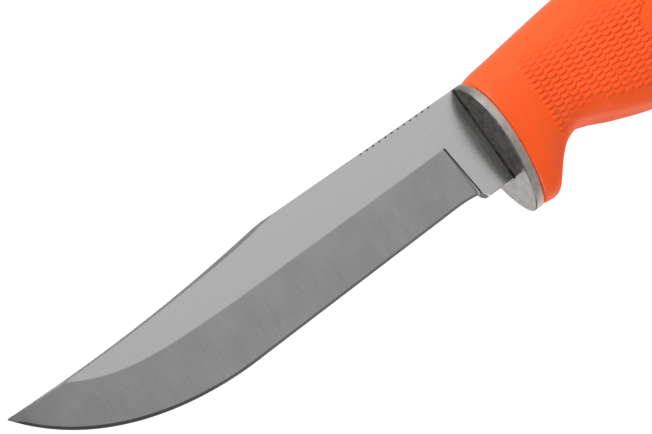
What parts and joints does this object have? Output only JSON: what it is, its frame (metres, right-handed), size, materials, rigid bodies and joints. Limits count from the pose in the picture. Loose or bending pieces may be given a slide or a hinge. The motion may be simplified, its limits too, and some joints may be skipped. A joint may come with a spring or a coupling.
{
  "type": "fixed-blade knife",
  "caption": "Fixed-blade clip-point knife with a steel oval guard and a contoured moulded grip with a lined lanyard hole.",
  "frame": {"origin": "middle of the hand's grip, in the blade's middle plane", "axes": "+X towards the butt, so the blade points to -X; +Z towards the spine, so the cutting edge faces -Z; +Y across the blade"},
  "size_m": [0.2402, 0.0216, 0.0382],
  "materials": {
    "blade_steel": "satin",
    "guard_steel": "smooth satin",
    "tube_steel": "turned, satin",
    "core_nylon": "moulded, dull",
    "grip_orange": "moulded, soft sheen, with raised scales"
  },
  "bodies": {
    "root": {"blade": "blade_steel", "guard": "guard_steel", "handle_core": "core_nylon", "grip": "grip_orange", "lanyard_tube": "tube_steel"}
  },
  "joints": []
}
